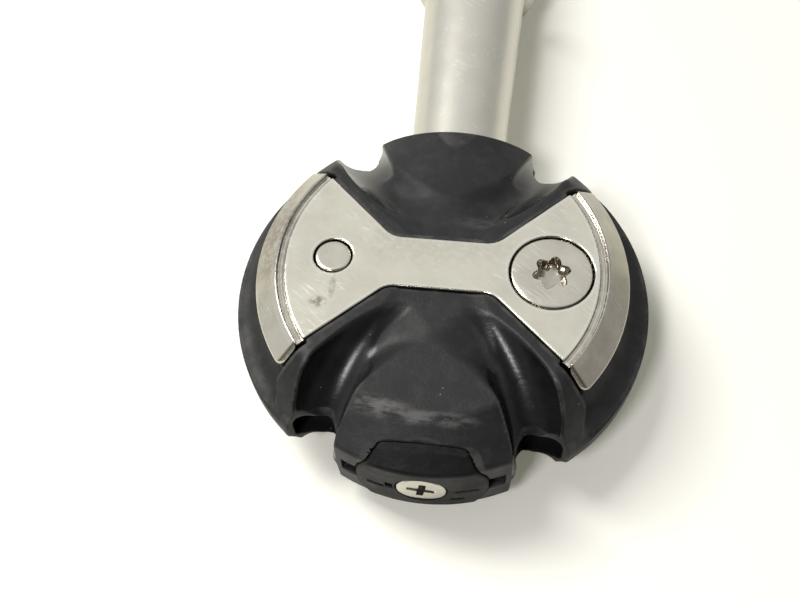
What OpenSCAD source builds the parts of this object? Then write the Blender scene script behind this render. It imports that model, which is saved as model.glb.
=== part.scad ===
// Round, double-sided clipless bicycle pedal, left side.
// The origin is the crank face on the spindle axis. +Y runs along the spindle to the crank, +Z is up.
// The pedal body is drawn about its own middle, which lies at y = -centre_offset.

/* [Spindle] */
// Crank face to the middle of the pedal body
centre_offset = 53; // [50:0.5:65]
// Outside diameter of the crank thread, 9/16 inch
thread_d = 14.29; // [12.7:0.01:14.29]
// Length of the crank thread
thread_len = 14; // [10:0.5:16]
// Diameter of the flange that seats on the crank
flange_d = 16.8; // [15.8:0.1:18]
// Thickness of the flange
flange_t = 1.6; // [1:0.1:3]
// Spindle diameter beside the flange
neck_root_d = 13.8; // [12.4:0.1:15]
// Spindle diameter where it enters the body
neck_d = 12; // [11.4:0.1:13]
// Width across the flats of the key socket
key_af = 8; // [6:0.5:8]
// Depth of the key socket
key_depth = 9; // [6:0.5:12]

/* [Bearings] */
// Journal diameter under the needle bearing
needle_shaft_d = 8; // [7:0.1:8.4]
// Diameter of one needle roller
needle_d = 1.49; // [1.2:0.01:1.5]
// Needle rollers in the cage
needle_count = 14; // [10:1:15]
// Length of the drawn cup of the needle bearing
needle_len = 10; // [8:0.5:11]
// Bore of each ball bearing
ball_bore_d = 6; // [5:0.1:6.2]
// Outside diameter that the needle cup and the ball bearings share
bearing_d = 12; // [11.6:0.1:13]
// Width of each ball bearing
ball_width = 4; // [3:0.1:4.5]
// Diameter of one ball
ball_d = 1.588; // [1.2:0.001:1.6]
// Balls in each bearing
ball_count = 8; // [6:1:10]
// Running clearance of rollers and balls against their races
race_gap = 0.03; // [0.02:0.01:0.06]
// Running clearance at the seal lip and the shields
lip_gap = 0.06; // [0.04:0.01:0.1]

/* [Body] */
// Diameter of the round body
body_d = 47.6; // [47:0.1:52]
// Height of the upright band round the widest edge
rim_band = 1.6; // [1:0.1:2.4]
// Wall of the metal sleeve round the bearings
sleeve_wall = 0.7; // [0.6:0.1:1.2]
// Nylon left between the sleeve and a plate
crown_wall = 0.5; // [0.4:0.1:1.2]
// How far the moulded border lies below the plate face
border_drop = 0.2; // [0.1:0.05:0.5]
// Middle of the body to the front of the nose
nose_reach = 23; // [22.5:0.1:24]
// Middle of the body to the mouth of the neck
neck_reach = 20.3; // [20:0.1:21.5]
// Half width of the nose and the neck between the notches
barrel_half_w = 9.9; // [9:0.1:10.5]
// Radius of each through notch in the edge
notch_r = 2.8; // [2:0.1:3.2]
// Radius of each scoop beside the barrel
scoop_r = 3.4; // [2.6:0.1:3.6]

/* [Plates] */
// Thickness of a plate where its strip crosses the barrel
strip_t = 1.3; // [1:0.1:1.6]
// Thickness of a plate in its wings
wing_t = 2.6; // [2.4:0.1:3]
// Half width of the strip
strip_half_w = 3.2; // [2.4:0.1:4]
// Half length of the strip
strip_half_len = 5.8; // [5:0.1:6.4]
// Radius of the flat wings
wing_r = 17.4; // [17:0.1:18]
// Half angle of a wing at its arc
wing_angle = 37.9; // [34:0.1:40]
// Width of the groove between a wing and its lip
groove_w = 0.8; // [0.4:0.1:1]
// Depth of that groove
groove_depth = 0.5; // [0.3:0.1:1]
// Width of the bevelled lip
lip_w = 2.7; // [2:0.1:3]
// Fall of the bevel over the lip
lip_drop = 2.3; // [1.5:0.1:2.6]
// Upright edge of the lip
lip_wall = 1.5; // [1:0.1:1.8]

/* [Fasteners] */
// Thread diameter of the plate screws
plate_screw_d = 4; // [3.5:0.1:4.5]
// Head diameter of the plate screws
plate_head_d = 8.9; // [7.5:0.1:9.2]
// Plate screw axis to the middle of the body
plate_screw_x = 12.1; // [11.6:0.1:12.4]
// Point to point width of the six-lobe recess
lobe_d = 4; // [3.4:0.1:4.5]
// Thread diameter of the bolt in the end of the spindle
end_bolt_d = 3; // [2.5:0.1:3.5]
// Thread length of that bolt
end_bolt_len = 8; // [5:0.5:10]
// Diameter of the end cap
cap_d = 14.2; // [13.4:0.1:14.6]
// Thread diameter of the grease port screw
port_screw_d = 3; // [2.5:0.1:3.5]
// Head diameter of the grease port screw
port_head_d = 5.4; // [4.8:0.1:6]

/* [Hidden] */
$fn = 96;
cut = 1;             // how far a cutting shape runs past what it cuts
fit = 0.05;          // clearance between pieces that slide together once

// Heights over the spindle axis.
sleeve_r = bearing_d / 2 + sleeve_wall;
crown_z = sleeve_r + crown_wall;         // underside of a strip
plate_z = crown_z + strip_t;             // face of a plate
border_z = plate_z - border_drop;
wing_floor_z = plate_z - wing_t;
body_r = body_d / 2;

// Lips of the plates.
lip_in_r = wing_r + groove_w;
lip_out_r = lip_in_r + lip_w;
lip_edge_z = plate_z - lip_drop;
lip_floor_z = lip_edge_z - lip_wall;
lip_step = 0.3;                          // set-back of the lower half of the upright edge
lip_over = 0.6;                          // how far the lip stands out over the catch
lip_angle = wing_angle + 0.7;
catch_angle = lip_angle + 2.4;           // half angle of the hollow under a lip
corner_round = 0.7;                      // inner corners of the bow tie
wing_step = 1.6;                         // thick part of a wing starts this far past the strip
rim_chamfer = 0.3;                       // above and below the upright band

// The barrel: height of its top along Y, measured down from the border.
cap_depth = 2.7;                         // the cap's seat lies this far behind the nose's front
cap_seat_y = cap_depth - nose_reach;
crease_back = 2.4;                       // and the brow's crease this far behind the seat
crease_y = cap_seat_y + crease_back;
crease_drop = 0.7;
brow_r = 14.3;                           // plan radius of the crease
brow_fall = 0.62;                        // slope of the brow, from the crease to the front
nose_blend = 2.5;                        // the round body stops this far short of the nose's front
neck_drop = 1.5;
nose_face_r = 20.5;                      // plan radius of the nose's front face
panel_half_w = 8.4;                      // half width of the nose's flat top
nose_side_z = 3.2;                       // half height of the nose's upright sides
neck_arch_r = 14;                        // radius of the neck's arched top

// Notches and scoops.
notch_x = barrel_half_w + notch_r;
notch_in = 4.25;                         // a notch's round end lies this far inside the body's edge
notch_y = body_r - notch_in;
scoop_start = [5.4, 5.2];
scoop_start_z = border_z;
scoop_fall = 3.3;                        // how far a scoop's axis drops on its way to the notch
scoop_end_z = border_z - scoop_fall;
scoop_past = 3;                          // a scoop runs this far past the notch's middle
scoop_arc_len = 12.5;                    // length over which a scoop grows to its radius
scoop_run = [notch_x, notch_y] - scoop_start;
scoop_plan_len = norm(scoop_run);
scoop_turn = atan2(scoop_run[1], scoop_run[0]);
scoop_tilt = atan2(scoop_start_z - scoop_end_z, scoop_plan_len);
scoop_arc_r = (pow(scoop_arc_len, 2) + pow(scoop_r, 2)) / (2 * scoop_r);

// End bolt, washer and cap.
washer_t = 0.6;
bolt_head_d = 5.4;
bolt_head_h = 1.5;
bolt_room = 1;                           // free length between the bolt's head and the cap
bolt_drive = [2.7, 1];                   // width and depth of the bolt's six-lobe recess
spigot_r = bearing_d / 2 - fit;
spigot_len = 2;
o_ring_d = 0.8;
o_ring_mid_r = bearing_d / 2 + fit - o_ring_d / 2;
cap_dome = 0.25;                         // how far the cap stands past the nose's face
port_screw_len = 4;
port_drive = [2.9, 1.3];                 // width and depth of its cross recess
pry_w = 2;                               // width of a pry recess beside the cap
pry_h = 3;
pry_depth = 2.6;

// Places along the spindle, from the neck to the nose, about the middle of the body.
mouth_len = 3;                           // plain mouth of the neck
mouth_gap = 0.15;
seal_y = neck_reach - mouth_len - 0.2;   // crank side of the seal
seal_len = 2.2;
seal_shaft_d = (neck_d + needle_shaft_d) / 2;
seal_wall = 0.5;                         // wall of the seal's seat beyond the neck's radius
sleeve_y = seal_y - seal_len - 0.2;
needle_y = sleeve_y - 0.6;               // crank side of the needle bearing
needle_end_y = needle_y - needle_len;
ball_gap = 0.02;
washer_y = cap_seat_y + spigot_len + bolt_room + bolt_head_h + washer_t;  // crank side of the washer
end_bearing_y = washer_y + ball_width / 2;                                // middle of the end bearing
middle_bearing_y = end_bearing_y + ball_width + ball_gap;
shaft_step_y = middle_bearing_y + ball_width / 2;
shaft_end_y = washer_y + 0.1;
ring_y = washer_y - ball_gap;            // crank side of the snap ring
ring_t = 0.8;
ring_bite = 0.25;                        // depth of the snap ring's groove
ring_band = 0.7;                         // how far the ring stands in from its bore
ring_eye_r = 0.75;
ring_eye_x = 2;
sleeve_end_y = ring_y - ring_t - 1;
seat_rib = 0.8;                          // height of the rib between the bearing seats

// Inside the bearings.
needle_pitch_r = (needle_shaft_d + needle_d) / 2 + race_gap;
needle_shell_in_r = needle_pitch_r + needle_d / 2 + race_gap;
cup_lip = 0.6;                           // thickness of the cup's turned-in lips
roller_end_room = 0.6;                   // cage bar between a roller's end and a lip
needle_roller_len = needle_len - 2 * (cup_lip + roller_end_room);
ball_pitch_r = (ball_bore_d + bearing_d) / 4;
ball_race_r = ball_d / 2 + race_gap;
ring_land = 0.55;                        // radial reach of each ring's shoulder to the pitch
shield_t = 0.2;
shield_sink = 0.05;                      // shields lie this far inside the rings' faces
shield_r = ball_pitch_r + ring_land + 0.3;

module mirror_z() { children(); mirror([0, 0, 1]) children(); }
module mirror_x() { children(); mirror([1, 0, 0]) children(); }
module mirror_y() { children(); mirror([0, 1, 0]) children(); }
module at_body() { translate([0, -centre_offset, 0]) children(); }

// A cylinder along Y from y0 up to y1.
module rod(y0, y1, r, r1 = -1)
    translate([0, y0, 0]) rotate([-90, 0, 0])
        cylinder(h = y1 - y0, r1 = r, r2 = r1 < 0 ? r : r1);

module tube(y0, y1, r, bore_r)
    difference() {
        rod(y0, y1, r);
        rod(y0 - cut, y1 + cut, bore_r);
    }

// ---- Body shell ----

// Half section of the round body, from the axis to the rim and back over two flats.
function shell_section() = [
    [0, 0], [body_r, 0], [body_r, rim_band / 2],
    [lip_out_r, lip_edge_z], [lip_in_r, border_z], [0, border_z]
];

// The hollow of a catch under its lip, open to the outside.
function catch_section() =
    let (
        in_r = lip_out_r - lip_over, wide = body_r - rim_chamfer - in_r,
        low = rim_band / 2 + rim_chamfer, high = lip_floor_z + fit
    )
    [
        [body_r + cut, low],
        for (a = [0:15:90]) [in_r + wide * (1 - sin(a)), low + (high - low) * (1 - cos(a))],
        [body_r + cut, high]
    ];

module round_body()
    difference() {
        mirror_z() rotate_extrude($fn = 160) polygon(shell_section());
        mirror_z() mirror_x() rotate([0, 0, -catch_angle])
            rotate_extrude(angle = 2 * catch_angle, $fn = 160) polygon(catch_section());
    }

// Side view of the barrel, Y against Z.
module barrel_side()
    polygon([
        [-nose_reach - cut, 0],
        [-nose_reach - cut, border_z - crease_drop * (nose_reach + cut - strip_half_w) / (-crease_y - strip_half_w)],
        [-strip_half_w, border_z],
        [strip_half_w, border_z],
        [neck_reach, border_z - neck_drop],
        [neck_reach, 0]
    ]);

// Conical brow at the front of the nose, with a block that leaves the rest of the barrel whole.
module brow() {
    low_r = brow_r + (border_z - crease_drop + cut) / brow_fall;
    translate([0, crease_y + brow_r, -cut]) {
        cylinder(r1 = low_r, r2 = low_r - (plate_z + cut) / brow_fall, h = plate_z + cut, $fn = 160);
        translate([-2 * body_r, 0, 0]) cube([4 * body_r, 2 * body_r, plate_z + cut]);
    }
}

module barrel_top(width)
    mirror_z() intersection() {
        translate([-width / 2, 0, 0]) rotate([90, 0, 90]) linear_extrude(width) barrel_side();
        brow();
    }

// End view of the nose, X against Z.
module nose_front()
    polygon([
        [-barrel_half_w, nose_side_z], [-panel_half_w, border_z],
        [panel_half_w, border_z], [barrel_half_w, nose_side_z],
        [barrel_half_w, -nose_side_z], [panel_half_w, -border_z],
        [-panel_half_w, -border_z], [-barrel_half_w, -nose_side_z]
    ]);

module nose_block()
    intersection() {
        barrel_top(2 * barrel_half_w);
        rotate([90, 0, 0]) linear_extrude(nose_reach + cut) nose_front();
        translate([0, nose_face_r - nose_reach, -plate_z]) cylinder(r = nose_face_r, h = 2 * plate_z);
    }

module neck_block()
    intersection() {
        barrel_top(2 * barrel_half_w);
        translate([0, 0, border_z - neck_drop - neck_arch_r]) rod(0, neck_reach, neck_arch_r);
        translate([0, 0, neck_arch_r - border_z + neck_drop]) rod(0, neck_reach, neck_arch_r);
    }

// What lies above the barrel's falling top, between the two scoops.
module barrel_relief()
    difference() {
        for (way = [1, -1])
            translate([0, 0, -plate_z]) linear_extrude(2 * plate_z)
                polygon([
                    [-scoop_start[0], way * strip_half_w], [scoop_start[0], way * strip_half_w],
                    [notch_x, way * notch_y], [notch_x, way * (body_r + cut)],
                    [-notch_x, way * (body_r + cut)], [-notch_x, way * notch_y]
                ]);
        barrel_top(4 * body_r);
    }

function scoop_radius(s) =
    s > scoop_arc_len ? scoop_r
        : max(0.05, scoop_r - scoop_arc_r + sqrt(pow(scoop_arc_r, 2) - pow(scoop_arc_len - s, 2)));

// One scoop, pointed near the strip and full beside the notch.
module scoop()
    translate([scoop_start[0], scoop_start[1], scoop_start_z])
        rotate([0, 90 + scoop_tilt, scoop_turn])
            rotate_extrude($fn = 64)
                polygon([
                    [0, 0],
                    for (s = [0:scoop_arc_len / 8:scoop_arc_len]) [scoop_radius(s), s],
                    [scoop_r, scoop_plan_len + scoop_past],
                    [0, scoop_plan_len + scoop_past]
                ]);

module notch()
    translate([notch_x, notch_y, -plate_z]) {
        cylinder(r = notch_r, h = 2 * plate_z);
        translate([-notch_r, 0, 0]) cube([2 * notch_r, body_r, 2 * plate_z]);
    }

module shell_bores() {
    rod(seal_y - cut, neck_reach + cut, neck_d / 2 + mouth_gap);
    rod(sleeve_y - cut, seal_y, neck_d / 2 + seal_wall);
    rod(sleeve_end_y, sleeve_y, sleeve_r);
    rod(cap_seat_y - cut, sleeve_end_y + cut, bearing_d / 2 + fit);
    rod(-nose_reach - cut, cap_seat_y, cap_d / 2 + fit);
    mirror_x() translate([cap_d / 2 - cut, -nose_reach - cut, -pry_h / 2])
        cube([pry_w + cut, cut + pry_depth, pry_h]);
    for (side = [1, -1])
        translate([side * plate_screw_x, 0, -plate_z])
            cylinder(d = plate_screw_d + 2 * shank_gap, h = 2 * plate_z);
}

module end_trim() translate([-body_r, 0, -plate_z]) cube([body_d, body_r, 2 * plate_z]);

module body_shell()
    color([0.09, 0.09, 0.1]) at_body() difference() {
        union() {
            difference() {
                round_body();
                barrel_relief();
                translate([0, nose_blend - nose_reach - body_r, 0]) end_trim();
                translate([0, neck_reach, 0]) end_trim();
            }
            nose_block();
            neck_block();
        }
        mirror_z() mirror_x() mirror_y() scoop();
        mirror_x() mirror_y() notch();
        mirror_z() plate_pocket();
        shell_bores();
    }

// ---- Plates ----

// Bow-tie outline of a plate inside its lips, with its inner corners rounded.
module bow_tie(reach) {
    far = reach * [cos(wing_angle), sin(wing_angle)];
    slant = far - [strip_half_len, strip_half_w];
    turn = atan2(slant[1], slant[0]);
    run = corner_round * tan(turn / 2);
    square([2 * strip_half_len + cut, 2 * strip_half_w], center = true);
    intersection() {
        circle(r = reach, $fn = 160);
        mirror_x() polygon([
            [strip_half_len, strip_half_w], far * 1.3, far * 1.3 * [[1, 0], [0, -1]],
            [strip_half_len, -strip_half_w]
        ]);
    }
    mirror_x() mirror_y() difference() {
        polygon([
            [strip_half_len - run, strip_half_w], [strip_half_len, strip_half_w - cut],
            [strip_half_len + run * cos(turn), strip_half_w + run * sin(turn)]
        ]);
        translate([strip_half_len - run, strip_half_w + corner_round]) circle(r = corner_round);
    }
}

// Half of a lip's section, radius against height.
function lip_section() = [
    [wing_r - cut, lip_floor_z], [lip_out_r - lip_step, lip_floor_z],
    [lip_out_r - lip_step, (lip_floor_z + lip_edge_z) / 2], [lip_out_r, (lip_floor_z + lip_edge_z) / 2],
    [lip_out_r, lip_edge_z], [lip_in_r, plate_z], [lip_in_r, plate_z - groove_depth],
    [wing_r, plate_z - groove_depth], [wing_r - cut, plate_z - groove_depth]
];

// A strip and two thick wings, with extra height on top.
module plate_slab(extra) {
    translate([0, 0, crown_z]) linear_extrude(strip_t + extra) bow_tie(wing_r);
    difference() {
        translate([0, 0, wing_floor_z]) linear_extrude(wing_t) bow_tie(wing_r);
        translate([-strip_half_len - wing_step, -plate_z, wing_floor_z - cut])
            cube([2 * (strip_half_len + wing_step), 2 * plate_z, cut + wing_t - strip_t]);
    }
}

module lips(section)
    mirror_x() rotate([0, 0, -lip_angle]) rotate_extrude(angle = 2 * lip_angle, $fn = 160)
        polygon(section);

// One plate before its screw holes.
module plate_stock() {
    plate_slab(0);
    lips(lip_section());
}

// The room that a plate takes in the shell, open to the top and the side.
module plate_pocket() {
    plate_slab(cut);
    lips([
        [wing_r - cut, lip_floor_z], [lip_out_r + cut, lip_floor_z],
        [lip_out_r + cut, plate_z + cut], [wing_r - cut, plate_z + cut]
    ]);
}

module plate(screw_side)
    difference() {
        plate_stock();
        translate([screw_side * plate_screw_x, 0, 0]) plate_screw_seat();
        translate([-screw_side * plate_screw_x, 0, wing_floor_z - cut])
            cylinder(d = plate_screw_d, h = wing_t + 2 * cut);
    }

module upper_plate() color([0.72, 0.7, 0.66]) at_body() plate(1);
module lower_plate() color([0.72, 0.7, 0.66]) at_body() rotate([0, 180, 0]) plate(1);

// ---- Plate screws ----

screw_sink = 0.1;                        // head and tip below the plate faces
screw_tip = 0.2;                         // chamfer at the tip
shank_gap = 0.2;                         // clearance round the shank
head_gap = 0.15;                         // and round the head
lobe_depth = 1.8;
head_band = 0.4;                         // upright edge of the countersunk head
head_cone = (plate_head_d - plate_screw_d) / 2;

module plate_screw_seat() {
    translate([0, 0, plate_z - screw_sink - head_band])
        cylinder(d = plate_head_d + 2 * head_gap, h = cut + head_band);
    translate([0, 0, plate_z - screw_sink - head_band - head_cone])
        cylinder(d1 = plate_screw_d, d2 = plate_head_d, h = head_cone);
    translate([0, 0, wing_floor_z - cut]) cylinder(d = plate_screw_d + 2 * shank_gap, h = cut + wing_t);
}

// Six round lobes, as a key recess.
module lobe_recess(size, depth)
    translate([0, 0, -depth]) linear_extrude(depth + cut) {
        circle(d = size * 0.74, $fn = 48);
        for (turn = [0:60:300]) rotate(turn) translate([size * 0.36, 0]) circle(d = size * 0.28, $fn = 24);
    }

// Radius against height, turned about Z.
function plate_screw_section() =
    let (top = plate_z - screw_sink, shank_r = plate_screw_d / 2, head_r = plate_head_d / 2)
    [
        [0, -top], [shank_r - screw_tip, -top], [shank_r, screw_tip - top],
        [shank_r, top - head_band - head_cone], [head_r, top - head_band], [head_r, top], [0, top]
    ];

module plate_screw()
    difference() {
        rotate_extrude() polygon(plate_screw_section());
        translate([0, 0, plate_z - screw_sink]) lobe_recess(lobe_d, lobe_depth);
    }

module upper_plate_screw() color([0.68, 0.66, 0.62]) at_body() translate([plate_screw_x, 0, 0]) plate_screw();
module lower_plate_screw()
    color([0.68, 0.66, 0.62]) at_body() rotate([0, 180, 0]) translate([plate_screw_x, 0, 0]) plate_screw();

// ---- Spindle ----

thread_tip = 1;                          // chamfer at the end of the thread
neck_flare = 2.4;                        // length of the flare into the flange
shaft_tip = 0.3;                         // chamfer at the end of the shaft

// Radius against Y, measured from the crank face.
function spindle_section() =
    let (
        shaft_r = ball_bore_d / 2,
        end = shaft_end_y - centre_offset,
        small = shaft_step_y - centre_offset,
        needle = needle_y - centre_offset + 0.3,
        seal = seal_y - centre_offset + 0.2,
        mouth = neck_reach - centre_offset
    )
    [
        [0, end], [shaft_r - shaft_tip, end], [shaft_r, end + shaft_tip], [shaft_r, small],
        [needle_shaft_d / 2, small], [needle_shaft_d / 2, needle],
        [seal_shaft_d / 2, needle], [seal_shaft_d / 2, seal],
        [neck_d / 2, seal], [neck_d / 2, mouth + 2],
        [neck_root_d / 2, -flange_t - neck_flare], [neck_root_d / 2 + 0.3, -flange_t],
        [flange_d / 2, -flange_t], [flange_d / 2, 0], [thread_d / 2, 0],
        [thread_d / 2, thread_len - thread_tip], [thread_d / 2 - thread_tip, thread_len],
        [0, thread_len]
    ];

module spindle()
    color([0.62, 0.6, 0.57]) difference() {
        rotate([-90, 0, 0]) rotate_extrude() polygon(spindle_section());
        translate([0, thread_len - key_depth, 0]) rotate([-90, 30, 0])
            cylinder(d = key_af / cos(30), h = key_depth + cut, $fn = 6);
        at_body() rod(shaft_end_y - cut, shaft_end_y + end_bolt_len + 1, end_bolt_d / 2);
    }

// ---- Sleeve, seal and snap ring ----

module bearing_sleeve()
    color([0.6, 0.6, 0.62]) at_body() difference() {
        rod(sleeve_end_y, sleeve_y, sleeve_r);
        rod(needle_end_y, sleeve_y + cut, bearing_d / 2);
        rod(shaft_step_y - cut, needle_end_y + cut, bearing_d / 2 - seat_rib);
        rod(sleeve_end_y - cut, shaft_step_y, bearing_d / 2);
        rod(ring_y - ring_t, ring_y, bearing_d / 2 + ring_bite);
    }

module neck_seal()
    color([0.13, 0.12, 0.12]) at_body()
        tube(seal_y - seal_len, seal_y, neck_d / 2 + seal_wall, seal_shaft_d / 2 + lip_gap);

module at_ring_eyes() mirror_x() translate([ring_eye_x, ring_eye_r - bearing_d / 2]) children();

// Open ring with two eyes, seen along Y.
module snap_ring()
    color([0.35, 0.35, 0.37]) at_body() translate([0, ring_y, 0]) rotate([90, 0, 0])
        linear_extrude(ring_t) difference() {
            circle(r = bearing_d / 2 + ring_bite);
            difference() {
                circle(r = bearing_d / 2 - ring_band);
                at_ring_eyes() circle(r = ring_eye_r, $fn = 32);
            }
            translate([0, -bearing_d / 2])
                square([2 * (ring_eye_x - ring_eye_r), bearing_d / 2], center = true);
            at_ring_eyes() circle(r = ring_eye_r / 2, $fn = 24);
        }

// ---- Needle bearing ----

module each_needle(gap)
    for (turn = [0:360 / needle_count:359])
        rotate([0, turn, 0]) translate([needle_pitch_r, 0, 0])
            rod(needle_mid_y - needle_roller_len / 2 - gap, needle_mid_y + needle_roller_len / 2 + gap,
                needle_d / 2 + gap, $fn = 32);

needle_mid_y = needle_y - needle_len / 2;
cage_gap = 0.06;                         // play of a roller or ball in its cage
cage_wall = 0.6;

module needle_bearing_shell()
    color([0.55, 0.55, 0.57]) at_body() difference() {
        rod(needle_end_y, needle_y, bearing_d / 2);
        rod(needle_end_y + cup_lip, needle_y - cup_lip, needle_shell_in_r);
        rod(needle_end_y - cut, needle_y + cut, needle_pitch_r + needle_d / 4);
    }

module needle_bearing_cage()
    color([0.4, 0.36, 0.28]) at_body() difference() {
        tube(needle_end_y + cup_lip + 0.2, needle_y - cup_lip - 0.2,
             needle_pitch_r + cage_wall / 2, needle_pitch_r - cage_wall / 2);
        each_needle(cage_gap);
    }

module needle_bearing_rollers() color([0.75, 0.75, 0.77]) at_body() each_needle(0);

// ---- Ball bearings, drawn about their own middle ----

cage_half = ball_d / 2 + 0.2;            // half width of a ball cage

module each_ball()
    for (turn = [0:360 / ball_count:359])
        rotate([0, turn, 0]) translate([ball_pitch_r, 0, 0]) sphere(d = ball_d, $fn = 48);

module race_groove()
    rotate([-90, 0, 0]) rotate_extrude() translate([ball_pitch_r, 0]) circle(r = ball_race_r);

module bearing_inner_ring()
    difference() {
        tube(-ball_width / 2, ball_width / 2, ball_pitch_r - ring_land, ball_bore_d / 2);
        race_groove();
    }

module bearing_outer_ring()
    difference() {
        tube(-ball_width / 2, ball_width / 2, bearing_d / 2, ball_pitch_r + ring_land);
        race_groove();
        mirror_y() rod(ball_width / 2 - shield_t - shield_sink, ball_width / 2 + cut, shield_r);
    }

module bearing_cage()
    difference() {
        tube(-cage_half, cage_half, ball_pitch_r + cage_wall / 2, ball_pitch_r - cage_wall / 2);
        for (turn = [0:360 / ball_count:359])
            rotate([0, turn, 0]) translate([ball_pitch_r - cage_wall, 0, 0]) rotate([0, 90, 0])
                cylinder(d = ball_d + 2 * cage_gap, h = 2 * cage_wall, $fn = 48);
    }

module bearing_shields()
    mirror_y() tube(ball_width / 2 - shield_t - shield_sink, ball_width / 2 - shield_sink,
                    shield_r, ball_pitch_r - ring_land + lip_gap);

module at_middle_bearing() at_body() translate([0, middle_bearing_y, 0]) children();
module at_end_bearing() at_body() translate([0, end_bearing_y, 0]) children();

ring_steel = [0.66, 0.66, 0.68];
ball_steel = [0.78, 0.78, 0.8];
cage_brass = [0.62, 0.5, 0.28];

module middle_bearing_inner_ring() color(ring_steel) at_middle_bearing() bearing_inner_ring();
module middle_bearing_outer_ring() color(ring_steel) at_middle_bearing() bearing_outer_ring();
module middle_bearing_cage() color(cage_brass) at_middle_bearing() bearing_cage();
module middle_bearing_balls() color(ball_steel) at_middle_bearing() each_ball();
module middle_bearing_shields() color(ball_steel) at_middle_bearing() bearing_shields();
module end_bearing_inner_ring() color(ring_steel) at_end_bearing() bearing_inner_ring();
module end_bearing_outer_ring() color(ring_steel) at_end_bearing() bearing_outer_ring();
module end_bearing_cage() color(cage_brass) at_end_bearing() bearing_cage();
module end_bearing_balls() color(ball_steel) at_end_bearing() each_ball();
module end_bearing_shields() color(ball_steel) at_end_bearing() bearing_shields();

// ---- End of the spindle ----

bolt_y = washer_y - washer_t;                    // seat of the bolt's head

module end_washer()
    color([0.6, 0.6, 0.62]) at_body()
        tube(bolt_y, washer_y, ball_pitch_r - ring_land, end_bolt_d / 2);

module end_bolt()
    color([0.4, 0.4, 0.42]) at_body() difference() {
        union() {
            rod(bolt_y - bolt_head_h, bolt_y, bolt_head_d / 2);
            rod(bolt_y, bolt_y + end_bolt_len, end_bolt_d / 2);
        }
        translate([0, bolt_y - bolt_head_h, 0]) rotate([90, 0, 0]) lobe_recess(bolt_drive[0], bolt_drive[1]);
    }

// ---- End cap ----

module nose_envelope()
    intersection() {
        barrel_top(2 * barrel_half_w);
        translate([0, nose_face_r - nose_reach - cap_dome, -plate_z])
            cylinder(r = nose_face_r, h = 2 * plate_z);
    }

module end_cap()
    color([0.08, 0.08, 0.09]) at_body() difference() {
        union() {
            intersection() {
                rod(-nose_reach - cap_dome - cut, cap_seat_y, cap_d / 2);
                nose_envelope();
            }
            rod(cap_seat_y, cap_seat_y + spigot_len, spigot_r);
        }
        translate([0, cap_seat_y + spigot_len / 2, 0]) o_ring_groove();
        rod(-nose_reach - 2, cap_seat_y + spigot_len + cut, port_screw_d / 2);
        port_head_cone(0.1);
    }

module o_ring_groove()
    rotate([-90, 0, 0]) rotate_extrude()
        translate([o_ring_mid_r - o_ring_d / 2, -o_ring_d * 0.6]) square([cut, o_ring_d * 1.2]);

module end_cap_o_ring()
    color([0.1, 0.1, 0.1]) at_body() translate([0, cap_seat_y + spigot_len / 2, 0]) rotate([-90, 0, 0])
        rotate_extrude() translate([o_ring_mid_r, 0]) circle(d = o_ring_d - 0.02, $fn = 32);

// ---- Grease port screw ----

port_face_y = -nose_reach - cap_dome + 0.1;      // outer face of the screw's head
port_cone = (port_head_d - port_screw_d) / 2;

module port_head_cone(gap)
    translate([0, port_face_y, 0]) {
        rod(0, port_cone, port_head_d / 2 + gap, port_screw_d / 2 + gap);
        rod(-cut, 0, port_head_d / 2 + gap);
    }

// Four-way recess with sloping ends.
module cross_recess(size, depth)
    intersection() {
        for (turn = [0, 90])
            rotate([0, turn, 0]) translate([-size / 2, -cut, -size / 6]) cube([size, depth + cut, size / 3]);
        rod(-cut, depth, size / 2 + 0.2, size / 5);
    }

module grease_port_screw()
    color([0.66, 0.65, 0.62]) at_body() difference() {
        union() {
            translate([0, port_face_y, 0]) rod(0, port_cone, port_head_d / 2, port_screw_d / 2);
            rod(port_face_y + port_cone, port_face_y + port_screw_len, port_screw_d / 2);
        }
        translate([0, port_face_y, 0]) cross_recess(port_drive[0], port_drive[1]);
    }

spindle();
body_shell();
bearing_sleeve();
upper_plate();
lower_plate();
upper_plate_screw();
lower_plate_screw();
neck_seal();
needle_bearing_shell();
needle_bearing_cage();
needle_bearing_rollers();
middle_bearing_inner_ring();
middle_bearing_outer_ring();
middle_bearing_cage();
middle_bearing_balls();
middle_bearing_shields();
end_bearing_inner_ring();
end_bearing_outer_ring();
end_bearing_cage();
end_bearing_balls();
end_bearing_shields();
snap_ring();
end_washer();
end_bolt();
end_cap();
end_cap_o_ring();
grease_port_screw();
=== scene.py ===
"""Round double-sided clipless bicycle pedal, left side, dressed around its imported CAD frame."""

import math

import bpy
import numpy as np
from mathutils import Matrix


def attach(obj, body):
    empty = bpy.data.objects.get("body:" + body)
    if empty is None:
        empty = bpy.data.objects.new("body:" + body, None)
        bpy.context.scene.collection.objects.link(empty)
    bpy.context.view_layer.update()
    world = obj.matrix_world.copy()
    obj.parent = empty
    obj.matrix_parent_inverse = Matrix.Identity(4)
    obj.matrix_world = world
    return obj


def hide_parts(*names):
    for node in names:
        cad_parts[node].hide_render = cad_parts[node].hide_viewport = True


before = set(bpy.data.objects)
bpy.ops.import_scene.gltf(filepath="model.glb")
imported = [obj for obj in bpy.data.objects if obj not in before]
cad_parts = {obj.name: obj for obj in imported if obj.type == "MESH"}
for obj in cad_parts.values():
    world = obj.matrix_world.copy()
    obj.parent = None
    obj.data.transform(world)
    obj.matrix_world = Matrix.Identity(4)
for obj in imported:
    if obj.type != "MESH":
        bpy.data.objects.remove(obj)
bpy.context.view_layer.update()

MM = 0.001

# ---------------------------------------------------------------------------
# Driving sizes, in millimetres. The pedal body is drawn about its own middle.
# ---------------------------------------------------------------------------

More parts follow.
